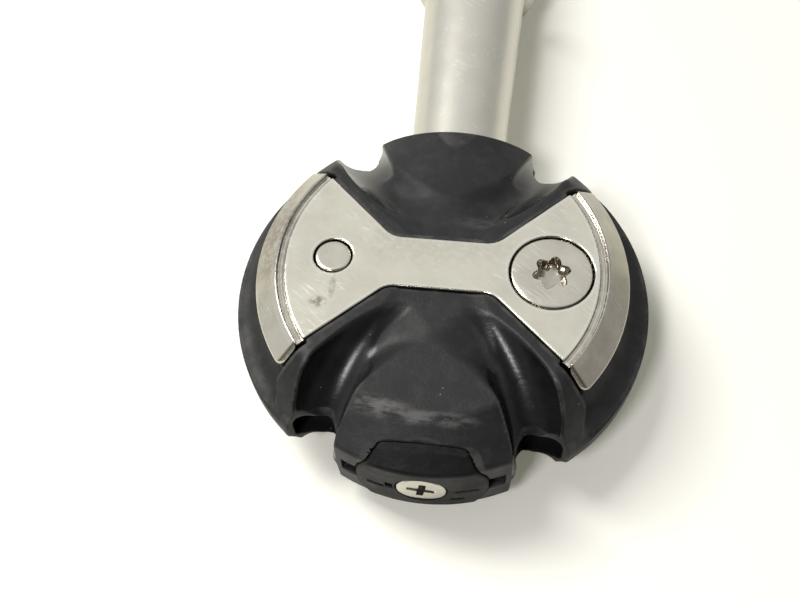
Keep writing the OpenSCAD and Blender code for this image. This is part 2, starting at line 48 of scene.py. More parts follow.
CENTRE_OFFSET = 53.0        # crank face to the middle of the body
PLATE_Z = 8.5               # face of a plate over the spindle axis
BORDER_Z = 8.3              # moulded border beside a plate
CROWN_Z = 7.2               # underside of a strip
BODY_R = 23.79
RIM_BAND = 0.8              # half height of the upright band
NOSE_REACH = 23.0
NECK_REACH = 20.3
BARREL_HALF_W = 9.9
CAP_SEAT_Y = -20.3
CAP_R = 7.1

WING_R = 17.4
WING_ANGLE = 37.9           # degrees, half angle of a wing at its arc
WING_FLOOR_Z = 5.9
WING_STEP_X = 7.4           # the thick part of a wing starts here
STRIP_HALF_W = 3.2
STRIP_HALF_LEN = 5.8
LIP_IN_R = 18.2
LIP_OUT_R = 20.9
LIP_EDGE_Z = 6.2
LIP_FLOOR_Z = 4.7
LIP_ANGLE = 39.2
PLATE_SCREW_X = 12.1


# ---------------------------------------------------------------------------
# Distance fields: each returns millimetres to a surface, negative inside.
# ---------------------------------------------------------------------------

def fillet_max(a, b, r):
    """Intersection of two fields with an edge rounded to radius r."""
    past = np.hypot(np.maximum(a + r, 0.0), np.maximum(b + r, 0.0))
    return np.minimum(-r, np.maximum(a, b)) + past


def fillet_min(a, b, r):
    """Union of two fields with an inner corner filled to radius r."""
    return -fillet_max(-a, -b, r)


def chamfer_max(a, b, width, r):
    """Intersection of two fields with a flat of the given depth across the edge."""
    return fillet_max(fillet_max(a, b, r), (a + b + width) * math.sqrt(0.5), r)


def half_plane(u, v, p, q):
    """Distance to the line from p to q in the (u, v) plane, positive on its left side."""
    du, dv = q[0] - p[0], q[1] - p[1]
    return ((v - p[1]) * du - (u - p[0]) * dv) / math.hypot(du, dv)


def convex(u, v, points, r):
    """A convex outline whose outside lies left of its points' order, corners rounded to r."""
    field = half_plane(u, v, points[0], points[1])
    for p, q in zip(points[1:], points[2:]):
        field = fillet_max(field, half_plane(u, v, p, q), r)
    return field


def ramp(value, low, high):
    """Smooth step from 0 at low to 1 at high."""
    t = np.clip((value - low) / (high - low), 0.0, 1.0)
    return t * t * (3.0 - 2.0 * t)


# ---- The body's own fields, in body millimetres ----

NOTCH = (12.7, 19.55)       # middle of a notch's round end
NOTCH_R = 2.8
HOLLOW_DEPTH = 2.2          # a moulded hollow goes this far into a notch's wall
HOLLOW_X = (9.7, 15.3)
HOLLOW_S = 19.4
HOLLOW_R = 22.7
HOLLOW_Z = 2.1

SCOOP_START = (5.4, 5.2)
SCOOP_SPAN = (4.6, 21.5)    # the scoop's section stays the same beyond these distances
SCOOP_RUN = 4.9             # its floor passes the border here
SCOOP_FALL = (0.24, 0.024)  # slope and bend of its floor
SCOOP_STATIONS = (7.0, 12.0)
SCOOP_MIDDLE = (5.5, 0.72, -0.031)      # plan line of its middle: value, slope and bend
SCOOP_RADIUS = (1.26, 0.298, -0.0187)   # its radius in the same way
SCOOP_LEAST_R = 2.1
FLANK_WIDE = 0.18           # the inner flank is this much wider beside the strip
FLANK_FROM = 13.8           # and turns steeper beyond this distance
FLANK_STEEP = (0.055, 0.0003)


def through_stations(s, value, slope, bend):
    """A parabola with the given value at the first station and chord to the second."""
    near, far = SCOOP_STATIONS
    return value + slope * (s - near) + bend * (s - near) * (s - far)


def scoop_field(x, s, z):
    """The moulding beside one funnel-shaped scoop, for x, s and z all positive."""
    s = np.clip(s, *SCOOP_SPAN)
    run = s - SCOOP_RUN
    floor_z = BORDER_Z + 0.05 - SCOOP_FALL[0] * run - SCOOP_FALL[1] * run ** 2
    middle = through_stations(s, *SCOOP_MIDDLE)
    radius = through_stations(s, *SCOOP_RADIUS)
    radius = 0.5 * (radius + SCOOP_LEAST_R + np.sqrt((radius - SCOOP_LEAST_R) ** 2 + 0.2))
    lean = SCOOP_MIDDLE[1] + SCOOP_MIDDLE[2] * (2.0 * s - sum(SCOOP_STATIONS))
    across = (x - middle) / np.hypot(1.0, lean)
    late = np.maximum(s - FLANK_FROM, 0.0)
    flank = 1.0 - FLANK_WIDE * ramp(-s, -12.5, -8.0)
    flank = flank + FLANK_STEEP[0] * late + FLANK_STEEP[1] * late ** 3
    across = np.where(across < 0.0, across * flank, across)
    # The factor keeps the field below one millimetre per millimetre on the sloping floor.
    return (radius - np.hypot(across, np.minimum(z - floor_z - radius, 0.0))) * 0.88


def notch_field(x, s):
    """A through notch: a round end and straight sides that run out of the edge."""
    return np.hypot(x - NOTCH[0], np.minimum(s - NOTCH[1], 0.0)) - NOTCH_R


def core_field(x, s, z):
    """Moulded hollow in a notch's wall, between the two halves of the body."""
    hollow = notch_field(x, s) - HOLLOW_DEPTH
    outer = np.maximum(np.maximum(x - HOLLOW_X[1], s - HOLLOW_S), np.hypot(x, s) - HOLLOW_R)
    hollow = fillet_max(hollow, outer, 0.4)
    hollow = fillet_max(hollow, HOLLOW_X[0] - x, 0.4)
    return fillet_max(hollow, z - HOLLOW_Z, 1.1)


def wing_field(x, s, grow, r):
    """Plan outline of a plate inside its lips, for x and s positive."""
    a = math.radians(WING_ANGLE)
    far = (WING_R * math.cos(a), WING_R * math.sin(a))
    slant = half_plane(x, s, (STRIP_HALF_LEN, STRIP_HALF_W), far)
    return fillet_min(s - STRIP_HALF_W, slant, r) - grow


def sector_field(x, s, half_angle):
    """Distance to the radial line at half_angle, positive beyond it."""
    a = math.radians(half_angle)
    return s * math.cos(a) - x * math.sin(a)


CATCH_R = 23.5              # the catch is an ellipse's lower quarter about this radius
CATCH_WIDE = 3.2
CATCH_TALL = 3.6


def disc_field(x, s, rho, z):
    """The round body: catches under the lips, full arms beyond them."""
    bevel = half_plane(rho, z, (LIP_OUT_R, LIP_EDGE_Z), (LIP_IN_R, BORDER_Z))
    top = fillet_max(-bevel, z - BORDER_Z, 0.5)
    slope = -half_plane(rho, z, (BODY_R, RIM_BAND), (LIP_OUT_R, LIP_EDGE_Z))
    arm = fillet_max(top, slope, 1.2)
    reach = np.hypot(np.minimum(rho - CATCH_R, 0.0) / CATCH_WIDE,
                     np.minimum(z - LIP_FLOOR_Z, 0.0) / CATCH_TALL)
    catch = np.maximum((1.0 - reach) * CATCH_WIDE, top)
    theta = np.degrees(np.arctan2(s, np.maximum(x, 1e-6)))
    start = LIP_ANGLE - 2.0
    wide = 3.0 + 9.0 * np.clip(1.0 - z / LIP_FLOOR_Z, 0.0, 1.0)
    full = ramp((theta - start) / wide, 0.0, 1.0)
    return fillet_max(catch * (1.0 - full) + arm * full, rho - BODY_R, 0.25)


CREASE_S = 17.9             # the brow's crease lies this far in front of the middle
CREASE_Z = 7.6
BROW_R = 14.3               # plan radius of the crease
BROW_FALL = 0.62            # slope of the brow
NOSE_FACE_R = 20.5
NOSE_END = ((0.0, BORDER_Z), (8.4, BORDER_Z), (BARREL_HALF_W, 3.2), (BARREL_HALF_W, 0.0))
NECK_END_Z = 6.8
NECK_ARCH_R = 14.0
NECK_ARCH_HALF_W = 11.5     # the arch is level beyond this half width


def nose_top_field(x, s, z):
    """The nose's flat panel and the conical brow in front of its crease."""
    panel = convex(s, z, ((0.0, BORDER_Z), (STRIP_HALF_W, BORDER_Z), (CREASE_S, CREASE_Z)), 0.35)
    out = np.hypot(x, np.maximum(s - CREASE_S + BROW_R, 0.0)) - BROW_R
    brow = (z - CREASE_Z + BROW_FALL * out) / math.hypot(1.0, BROW_FALL)
    return fillet_max(panel, brow, 0.2)


def nose_field(x, s, z, reach, r):
    """The squared nose block, cut by its bowed front face."""
    ends = convex(x, z, NOSE_END, 0.9)
    face = np.hypot(x, s - (reach - NOSE_FACE_R)) - NOSE_FACE_R
    return fillet_max(fillet_max(nose_top_field(x, s, z), ends, 0.5), face, r)


def neck_top_field(x, s, z):
    """The neck's top: flat beside the strip, an arch at its end."""
    t = np.clip((s - STRIP_HALF_W) / (NECK_REACH - STRIP_HALF_W), 0.0, 1.0) ** 1.15
    x = np.minimum(x, NECK_ARCH_HALF_W)
    rise = np.sqrt(NECK_ARCH_R ** 2 - x ** 2)
    arch = NECK_END_Z - NECK_ARCH_R + rise
    fall = t * x / rise
    return (z - (1.0 - t) * BORDER_Z - t * arch) / np.sqrt(1.0 + fall ** 2)


NOSE_DISC_S = 20.5          # the round body ends here in front
PLATE_GAP = 0.06            # room round a plate
PRY_HALF_W = 8.8            # recesses beside the cap, to lift it out with
PRY_HALF_H = 1.3
PRY_S = 20.4
BORE_R = (6.15, 5.6)        # over the bearings and beyond their shoulder
BORE_STEP_Y = -16.5
SCREW_HOLE_R = 2.2


def body_field(x, y, z):
    """The whole shell, in body millimetres."""
    x, z, s = np.abs(x), np.abs(z), np.abs(y)
    nose = y < 0.0
    rho = np.hypot(x, s)
    nose_top = nose_top_field(x, s, z)
    neck_top = neck_top_field(x, s, z)
    top = np.where(nose, nose_top, neck_top)

    # Round body, lowered to the barrel's top between the scoops.
    between = half_plane(x, s, SCOOP_START, NOTCH)
    lowered = np.minimum(fillet_min(top, between, 1.2), s - STRIP_HALF_W)
    disc = fillet_max(disc_field(x, s, rho, z), lowered, 0.8)
    disc = fillet_max(disc, np.where(nose, s - NOSE_DISC_S, s - NECK_REACH), 0.3)

    side = x - BARREL_HALF_W
    neck = chamfer_max(fillet_max(neck_top, side, 0.8), s - NECK_REACH, 0.5, 0.1)
    barrel = np.where(nose, nose_field(x, s, z, NOSE_REACH, 0.3), neck)
    whole = fillet_min(disc, barrel, 0.5)
    whole = np.maximum(whole, np.maximum(lowered, z - BORDER_Z))

    # Scoops: their inner flank is soft beside the strip and crisp towards the notch.
    soft = 0.3 + 2.3 * ramp(s, 5.0, 10.0) * ramp(-s, -15.5, -9.5) * ramp(between, -1.2, 2.4)
    whole = fillet_max(whole, scoop_field(x, s, z), soft)
    whole = fillet_max(whole, -notch_field(x, s), 0.3)
    whole = fillet_max(whole, -core_field(x, s, z), 0.2)

    # Seats of the plate, its lips and its screws.
    wing = np.maximum(wing_field(x, s, PLATE_GAP, 0.6), rho - WING_R - 0.4)
    strip = np.maximum(wing, CROWN_Z - z)
    thick = np.maximum(np.maximum(wing, WING_FLOOR_Z - z), WING_STEP_X - x)
    lip = np.maximum(sector_field(x, s, LIP_ANGLE) - 2.0 * PLATE_GAP, WING_R - 0.2 - rho)
    lip = np.maximum(lip, LIP_FLOOR_Z - z)
    seat = np.minimum(np.minimum(strip, thick), lip)
    whole = fillet_max(whole, -seat, 0.12)
    whole = np.maximum(whole, SCREW_HOLE_R - np.hypot(x - PLATE_SCREW_X, s))

    # Bore, cap seat and pry recesses.
    r = np.hypot(x, z)
    whole = np.maximum(whole, np.where(y > BORE_STEP_Y, *BORE_R) - r)
    mouth = fillet_max(r - CAP_R - 0.1, y - CAP_SEAT_Y, 0.1)
    pry = np.maximum(np.maximum(x - PRY_HALF_W, z - PRY_HALF_H), y + PRY_S)
    return fillet_max(whole, -np.minimum(mouth, pry), 0.15)


# ---------------------------------------------------------------------------
# Meshes from fields: naive surface nets, drawn onto the surface by Newton steps.
# ---------------------------------------------------------------------------

def gradient(field, p, h=0.015):
    """Central differences of a field of points."""
    g = np.empty_like(p)
    for axis in range(3):
        d = np.zeros(3)
        d[axis] = h
        g[:, axis] = (field(p + d) - field(p - d)) / (2.0 * h)
    return g


def surface_net(values, low, step):
    """Points and quads round the negative part of a grid of values."""
    inside = values < 0.0
    count = np.zeros(np.array(values.shape) - 1, dtype=np.int8)
    corners = [(i, j, k) for i in (0, 1) for j in (0, 1) for k in (0, 1)]
    nx, ny, nz = count.shape
    for i, j, k in corners:
        count += inside[i:i + nx, j:j + ny, k:k + nz]
    active = (count > 0) & (count < 8)
    index = np.full(count.shape, -1, dtype=np.int64)
    index[active] = np.arange(active.sum())
    cells = np.argwhere(active)
    ci, cj, ck = cells.T
    total = np.zeros((len(cells), 3))
    hits = np.zeros(len(cells))
    for axis in range(3):
        for corner in corners:
            if corner[axis]:
                continue
            other = list(corner)
            other[axis] = 1
            a = values[ci + corner[0], cj + corner[1], ck + corner[2]]
            b = values[ci + other[0], cj + other[1], ck + other[2]]
            cross = (a < 0.0) != (b < 0.0)
            t = np.where(cross, a / np.where(cross, a - b, 1.0), 0.0)
            point = np.repeat(np.array(corner, dtype=float)[None], len(cells), axis=0)
            point[:, axis] += t
            total += point * cross[:, None]
            hits += cross
    points = low + (cells + total / hits[:, None]) * step

    quads = []
    for axis in range(3):
        u, v = (axis + 1) % 3, (axis + 2) % 3
        first = [slice(None)] * 3
        second = [slice(None)] * 3
        first[axis], second[axis] = slice(0, -1), slice(1, None)
        change = inside[tuple(first)].astype(np.int8) - inside[tuple(second)].astype(np.int8)
        where = np.argwhere(change != 0)
        keep = (where[:, u] > 0) & (where[:, v] > 0)
        where = where[keep]
        keep = (where[:, u] < count.shape[u]) & (where[:, v] < count.shape[v])
        where = where[keep]
        sign = change[tuple(where.T)]
        ring = []
        for du, dv in ((1, 1), (0, 1), (0, 0), (1, 0)):
            cell = where.copy()
            cell[:, u] -= du
            cell[:, v] -= dv
            ring.append(index[tuple(cell.T)])
        quad = np.stack(ring, axis=1)
        quad[sign < 0] = quad[sign < 0][:, ::-1]
        quads.append(quad)
    return points, np.concatenate(quads)


def draw_on(field, points, step, rounds=4):
    """Moves points onto the surface, each round by less than half a cell."""
    for _ in range(rounds):
        g = gradient(field, points)
        size = np.maximum((g ** 2).sum(axis=1), 0.05)
        move = -g * (field(points) / size)[:, None]
        length = np.linalg.norm(move, axis=1)
        points = points + move * np.minimum(1.0, 0.5 * step / np.maximum(length, 1e-9))[:, None]
    return points


def relax(points, quads, field, step, rounds=2):
    """Evens out the spacing along the surface."""
    for _ in range(rounds):
        total = np.zeros_like(points)
        count = np.zeros(len(points))
        for a, b in ((0, 1), (1, 2), (2, 3), (3, 0)):
            np.add.at(total, quads[:, a], points[quads[:, b]])
            np.add.at(total, quads[:, b], points[quads[:, a]])
            np.add.at(count, quads[:, a], 1.0)
            np.add.at(count, quads[:, b], 1.0)
        move = total / count[:, None] - points
        g = gradient(field, points)
        g /= np.maximum(np.linalg.norm(g, axis=1), 1e-6)[:, None]
        move -= g * (move * g).sum(axis=1)[:, None]
        points = points + 0.5 * move
    return draw_on(field, points, step, 2)


def add_mesh(name, points, faces, normals, values):
    """A mesh object of points in metres, with smooth normals and named point values."""
    mesh = bpy.data.meshes.new(name)
    faces = np.asarray(faces)
    mesh.vertices.add(len(points))
    mesh.vertices.foreach_set("co", np.asarray(points, dtype=np.float32).ravel())
    size = faces.shape[1]
    mesh.loops.add(faces.size)
    mesh.loops.foreach_set("vertex_index", faces.astype(np.int32).ravel())
    mesh.polygons.add(len(faces))
    mesh.polygons.foreach_set("loop_start", np.arange(0, faces.size, size, dtype=np.int32))
    mesh.update(calc_edges=True)
    mesh.validate()
    mesh.shade_smooth()
    for key, value in values.items():
        layer = mesh.attributes.new(key, "FLOAT", "POINT")
        layer.data.foreach_set("value", np.asarray(value, dtype=np.float32))
    mesh.normals_split_custom_set_from_vertices(normals.tolist())
    piece = bpy.data.objects.new(name, mesh)
    bpy.context.scene.collection.objects.link(piece)
    return piece


EDGE_PROBE = 0.5            # edges and hollows are felt this far off the surface


def field_piece(name, field, low, high, step, mirror=False, marks=None):
    """A closed mesh of a field between two corners, in body millimetres.

    Its points know how sharp an edge or how deep a hollow they are in, and whether they are on
    one of the marked walls.
    """
    low, high = np.array(low, dtype=float), np.array(high, dtype=float)
    if mirror:
        # Grid points lie half a step from both planes of symmetry.
        low[0], low[2] = step / 2.0, step / 2.0
    axes = [np.arange(low[i], high[i] + step, step) for i in range(3)]
    x, y, z = np.meshgrid(*axes, indexing="ij")
    values = field(x, y, z)
    if mirror:
        values = np.concatenate([values[::-1], values], axis=0)
        values = np.concatenate([values[:, :, ::-1], values], axis=2)
        low[0] -= step * len(axes[0])
        low[2] -= step * len(axes[2])
    points, quads = surface_net(values, low, step)
    at = lambda p: field(p[:, 0], p[:, 1], p[:, 2])
    points = draw_on(at, points, step)
    points = relax(points, quads, at, step)
    normals = gradient(at, points, 0.03)
    normals /= np.maximum(np.linalg.norm(normals, axis=1), 1e-6)[:, None]
    under = at(points - normals * EDGE_PROBE) / EDGE_PROBE
    over = at(points + normals * EDGE_PROBE) / EDGE_PROBE
    values = {"edge": np.clip((under + 1.0) * 2.5, 0.0, 1.0),
              "hollow": np.clip((1.0 - over) * 1.5, 0.0, 1.0)}
    for key, wall in (marks or {}).items():
        values[key] = ramp(-np.abs(wall(*np.abs(points).T)), -0.3, -0.1)
    place = (points + [0.0, -CENTRE_OFFSET, 0.0]) * MM
    return add_mesh(name, place, quads, normals, values)


SHELL = field_piece("shell_moulding", body_field, (0, -24.0, 0), (24.4, 22.4, 9.0), 0.24,
                    mirror=True, marks={"smooth": scoop_field, "pit": core_field})

# ---- Plates ----

PLATE_BEVEL = 0.12
HEAD_SEAT_R = 4.68
HEAD_BORE_R = 2.15
TIP_SEAT_R = 2.2
GROOVE_DEPTH = 0.5          # the groove between a wing and its lip
GROOVE_IN_R = 16.6
LIP_CREST = 0.2             # flat on top of a lip's inner edge


def plate_field(x, y, z):
    """Upper plate: strip, thick wings, groove and bevelled lips; its screw on the right."""
    ax, s = np.abs(x), np.abs(y)
    rho = np.hypot(ax, s)
    wing = np.maximum(wing_field(ax, s, 0.0, 0.7), rho - WING_R)
    top = z - PLATE_Z + 0.002
    face = fillet_max(wing, top, PLATE_BEVEL)
    strip = np.maximum(face, CROWN_Z - z)
    thick = fillet_max(face, fillet_max(WING_FLOOR_Z - z, WING_STEP_X + 0.1 - ax, 0.1), 0.1)
    slab = np.minimum(strip, thick)

    slope = -half_plane(rho, z, (LIP_OUT_R, LIP_EDGE_Z), (LIP_IN_R + LIP_CREST, PLATE_Z))
    step_z = (LIP_EDGE_Z + LIP_FLOOR_Z) / 2.0
    wall = np.minimum(np.maximum(rho - LIP_OUT_R, step_z - z), rho - LIP_OUT_R + 0.3)
    end = sector_field(ax, s, LIP_ANGLE - 0.3)
    ridge = fillet_max(fillet_max(slope, top, 0.08), LIP_IN_R - rho, 0.08)
    ridge = chamfer_max(ridge, end, 0.5, 0.12)
    tip = fillet_max(end, rho - LIP_OUT_R, 1.1)
    ridge = fillet_max(fillet_max(ridge, wall, 0.14), tip, 0.1)
    ridge = fillet_max(ridge, LIP_FLOOR_Z - z, 0.08)
    floor = np.maximum(z - PLATE_Z + GROOVE_DEPTH, LIP_FLOOR_Z - z)
    floor = np.maximum(floor, np.maximum(rho - LIP_IN_R - 0.2, GROOVE_IN_R - rho))
    floor = np.maximum(floor, sector_field(ax, s, WING_ANGLE + 0.1))
    whole = np.minimum(np.minimum(slab, ridge), floor)

    head = np.hypot(x - PLATE_SCREW_X, y) - HEAD_SEAT_R
    cone = (head + (PLATE_Z - 0.5 - z)) * math.sqrt(0.5)
    whole = fillet_max(whole, -np.maximum(cone, head), 0.1)
    whole = np.maximum(whole, HEAD_BORE_R - np.hypot(x - PLATE_SCREW_X, y))
    return fillet_max(whole, TIP_SEAT_R - np.hypot(x + PLATE_SCREW_X, y), 0.1)


# ---- End cap ----

PORT_R = 2.82
PORT_S = 22.4
# Key slots in the cap's face: left and right ends, lower and upper edges, depth.
CAP_SLOTS = (
    (-5.9, -4.1, -0.9, -0.35, 0.9),
    (3.6, 6.2, -0.55, -0.2, 0.8),
    (-3.9, -3.1, -0.5, 0.55, 1.0),
    (3.1, 4.6, -2.6, -2.2, 0.8),
)


def cap_field(x, y, z):
    """End cap: the nose's own shape inside the round seam, with its port and slots."""
    ax, az, s = np.abs(x), np.abs(z), -y
    block = nose_field(ax, s, az, NOSE_REACH + 0.22, 0.3)
    r = np.hypot(x, z)
    whole = fillet_max(block, r - CAP_R, 0.14)
    whole = np.maximum(whole, y - CAP_SEAT_Y + 0.05)
    whole = fillet_max(whole, -fillet_max(r - PORT_R, PORT_S - s, 0.1), 0.12)
    for x0, x1, z0, z1, deep in CAP_SLOTS:
        slot = np.maximum(np.abs(x - (x0 + x1) / 2) - (x1 - x0) / 2,
                          np.abs(z - (z0 + z1) / 2) - (z1 - z0) / 2)
        whole = fillet_max(whole, -np.maximum(slot, NOSE_REACH - deep - s), 0.07)
    return whole


CAP = field_piece("cap_moulding", cap_field, (-7.6, -23.6, -7.6), (7.6, -19.8, 7.6), 0.13)
UPPER_PLATE = field_piece("upper_plate_steel", plate_field, (-21.4, -14.6, 4.3), (21.4, 14.6, 8.9),
                          0.17)
LOWER_PLATE = bpy.data.objects.new("lower_plate_steel", UPPER_PLATE.data.copy())
bpy.context.scene.collection.objects.link(LOWER_PLATE)
LOWER_PLATE.data.transform(Matrix.Rotation(math.pi, 4, "Y"))


# ---------------------------------------------------------------------------
# Turned pieces: rings of points whose radius may change with the angle.
# ---------------------------------------------------------------------------

SHARP_ANGLE = 38.0          # degrees; edges above it stay sharp on turned pieces
LIGHT_RECESS_SHADE = 0.4           # how dark the inside of a recess is painted, as shade
HEAVY_RECESS_SHADE = 0.8


def angles(count):
    return np.arange(count) * 2.0 * math.pi / count


def turned(name, rings, count, to_world, recess=0):
    """A closed mesh swept through rings of (radius, height), in millimetres.

    A radius is a number or an array over the angles; the first and last ring close to a point.
    The last rings, as many as recess says, are the inside of a recess. A number below 0 counts
    the first rings instead.
    """
    angle = angles(count)
    rows = []
    for radius, height in rings:
        radius = np.broadcast_to(np.asarray(radius, dtype=float), (count,))
        height = np.broadcast_to(np.asarray(height, dtype=float), (count,))
        rows.append(np.stack([radius * np.cos(angle), radius * np.sin(angle), height], axis=1))
    points = np.concatenate(rows + [[[0.0, 0.0, float(np.mean(rings[0][1]))]],
                                    [[0.0, 0.0, float(np.mean(rings[-1][1]))]]])
    start, stop = len(rows) * count, len(rows) * count + 1
    i = np.arange(count)
    j = (i + 1) % count
    quads = [np.stack([i, j, j + count, i + count], axis=1) + row * count
             for row in range(len(rows) - 1)]
    faces = [tuple(int(v) for v in quad) for quad in np.concatenate(quads)]
    faces += [(start, int(b), int(a)) for a, b in zip(i, j)]
    last = (len(rows) - 1) * count
    faces += [(stop, last + int(a), last + int(b)) for a, b in zip(i, j)]
    mesh = bpy.data.meshes.new(name)
    mesh.from_pydata((points * MM).tolist(), [], faces)
    mesh.transform(to_world)
    mesh.update()
    mesh.shade_smooth()
    mesh.set_sharp_from_angle(angle=math.radians(SHARP_ANGLE))
    inside = np.zeros(len(points), dtype=np.float32)
    # painted shade: a recess's inside is marked so that its steel is darkened where shade falls
    if recess > 0:
        inside[(len(rows) - recess) * count:last + count] = LIGHT_RECESS_SHADE
        inside[stop] = LIGHT_RECESS_SHADE
    elif recess < 0:
        inside[:-recess * count] = HEAVY_RECESS_SHADE
        inside[start] = HEAVY_RECESS_SHADE
    mesh.attributes.new("hollow", "FLOAT", "POINT").data.foreach_set("value", inside)
    piece = bpy.data.objects.new(name, mesh)
    bpy.context.scene.collection.objects.link(piece)
    return piece


def six_lobe(count, outer, inner):
    """Outline of a six-lobe key recess."""
    wave = 0.5 + 0.5 * np.cos(6.0 * angles(count))
    return inner + (outer - inner) * wave ** 0.8


def cross(count, half, width):
    """Outline of a cross recess."""
    c, s = np.abs(np.cos(angles(count))), np.abs(np.sin(angles(count)))
    c, s = np.maximum(c, 1e-6), np.maximum(s, 1e-6)
    return np.maximum(np.minimum(half / c, width / s), np.minimum(width / c, half / s))


def hexagon(count, across):
    """Outline of a hexagon by its width across the flats."""
    turn = (angles(count) + math.pi / 6.0) % (math.pi / 3.0) - math.pi / 6.0
    return across / 2.0 / np.cos(turn)


TO_SPINDLE = Matrix.Rotation(-math.pi / 2.0, 4, "X")         # the turned axis points along +Y
TO_BODY = Matrix.Translation((0.0, -CENTRE_OFFSET * MM, 0.0))
KEY_TURN = 17.0             # degrees the plate screws' recess is turned by
PORT_TURN = 8.0


def plate_screw(name, flip):
    """Countersunk screw with a six-lobe recess; its tip shows in the other plate."""
    n, top = 144, PLATE_Z - 0.08
    lobes = six_lobe(n, 2.03, 1.42)
    floor = six_lobe(n, 1.75, 1.2)
    rings = [
        (0.5, top - 1.75), (floor, top - 1.6), (lobes * 0.99, top - 0.3), (lobes, top - 0.16),
        (lobes + 0.14, top), (3.2, top), (4.22, top), (4.38, top - 0.06), (4.45, top - 0.18),
        (4.45, top - 0.42), (4.38, top - 0.5), (2.02, top - 2.85), (2.0, top - 3.0), (2.0, 0.0),
        (2.0, -top + 0.2), (1.96, -top + 0.08), (1.84, -top), (1.5, -top), (0.7, -top),
    ]
    side = Matrix.Rotation(math.pi, 4, "Y") if flip else Matrix.Identity(4)
    place = TO_BODY @ side @ Matrix.Translation((PLATE_SCREW_X * MM, 0.0, 0.0))
    place = place @ Matrix.Rotation(math.radians(KEY_TURN), 4, "Z")
    return turned(name, rings[::-1], n, place, 3)


UPPER_SCREW = plate_screw("upper_plate_fastener", False)
LOWER_SCREW = plate_screw("lower_plate_fastener", True)


def port_screw():
    """Grease port screw: a flat head with a cross recess."""
    n, face = 192, -NOSE_REACH - 0.15
    lines = cross(n, 1.5, 0.36)
    rings = [
        (0.2, face + 1.35), (lines * 0.45, face + 1.2), (lines * 0.92, face + 0.3),
        (lines, face + 0.06), (lines + 0.07, face), (1.9, face), (2.52, face), (2.62, face + 0.03),
        (2.68, face + 0.12), (2.66, face + 0.2), (1.55, face + 1.35), (1.5, face + 1.5),
        (1.5, face + 3.8), (1.3, face + 4.0),
    ]
    place = TO_BODY @ TO_SPINDLE @ Matrix.Rotation(math.radians(PORT_TURN), 4, "Z")
    return turned("grease_port_cross_screw", rings, n, place, -4)


PORT_SCREW = port_screw()

THREAD_R = 7.145
THREAD_PITCH = 25.4 / 20.0
THREAD_DEPTH = 0.62
THREAD_START = 0.9
THREAD_END = 14.0
THREAD_STEPS = 12           # rings to one turn of the thread
FLANGE_R = 8.4
KEY_AF = 8.0
KEY_DEPTH = 9.0
# From its tip to the crank face: radius and distance from that face.
SPINDLE_PROFILE = (
    (1.5, -66.9), (2.7, -66.9), (3.0, -66.6), (3.0, -60.4), (3.85, -60.25), (4.0, -60.1),
    (4.0, -37.6), (5.0, -37.4), (5.0, -34.5), (6.0, -34.3), (6.0, -29.4), (6.16, -24.0),
    (6.38, -18.0), (6.6, -12.0), (6.74, -8.0), (6.83, -5.5), (6.9, -4.0), (6.98, -3.2),
    (7.12, -2.5), (7.36, -2.0), (7.75, -1.72), (8.1, -1.6), (8.32, -1.52), (FLANGE_R, -1.36),
    (FLANGE_R, -0.2), (8.3, -0.05), (8.2, 0.0), (6.9, 0.0), (6.52, 0.1), (6.5, 0.35),
    (6.5, THREAD_START - 0.15),
)


def spindle():
    """Forged and ground spindle: flare, flange, left-hand thread and hexagon socket."""
    n = 144
    turn = angles(n) / (2.0 * math.pi)
    rings = list(SPINDLE_PROFILE)
    for y in np.arange(THREAD_START, THREAD_END - 0.05, THREAD_PITCH / THREAD_STEPS):
        # A left-hand thread: the crest moves back as the angle grows.
        phase = np.abs(((y / THREAD_PITCH + turn) % 1.0) - 0.5) * 2.0
        crest = np.clip((phase - 0.1) / 0.8, 0.0, 1.0)
        begin = ramp(y, THREAD_START, THREAD_START + 1.2)
        fade = float(begin * (1.0 - 0.9 * ramp(y, THREAD_END - 1.1, THREAD_END - 0.05)))
        base = THREAD_R - THREAD_DEPTH - max(0.0, y - THREAD_END + 0.7) * 0.5
        rings.append((base + THREAD_DEPTH * crest * fade, y))
    hexed = hexagon(n, KEY_AF)
    rings += [(5.9, THREAD_END), (5.2, THREAD_END), (np.maximum(hexed, 4.62), THREAD_END - 0.02),
              (hexed, THREAD_END - 0.45), (hexed, THREAD_END - KEY_DEPTH),
              (2.0, THREAD_END - KEY_DEPTH - 0.6)]
    return turned("spindle_forging", rings, n, TO_SPINDLE)


SPINDLE = spindle()


# ---------------------------------------------------------------------------
# Materials
# ---------------------------------------------------------------------------

SCUFF = (0.052, 0.05, 0.048)
WORN_EDGE = (0.12, 0.115, 0.105)
RUBBED = (0.13, 0.127, 0.12)
DUST = (0.05, 0.047, 0.043)
PIT_PAINTED_SHADE = (0.0015, 0.0015, 0.0015)
SPECK = (0.3, 0.29, 0.26)
BRIGHT_STEEL = (0.8, 0.79, 0.76)
GRIME_AND_SHADE = (0.13, 0.1, 0.075)
SMUDGE_AND_SHADE = (0.12, 0.10, 0.09)
FILM = (0.25, 0.22, 0.185)


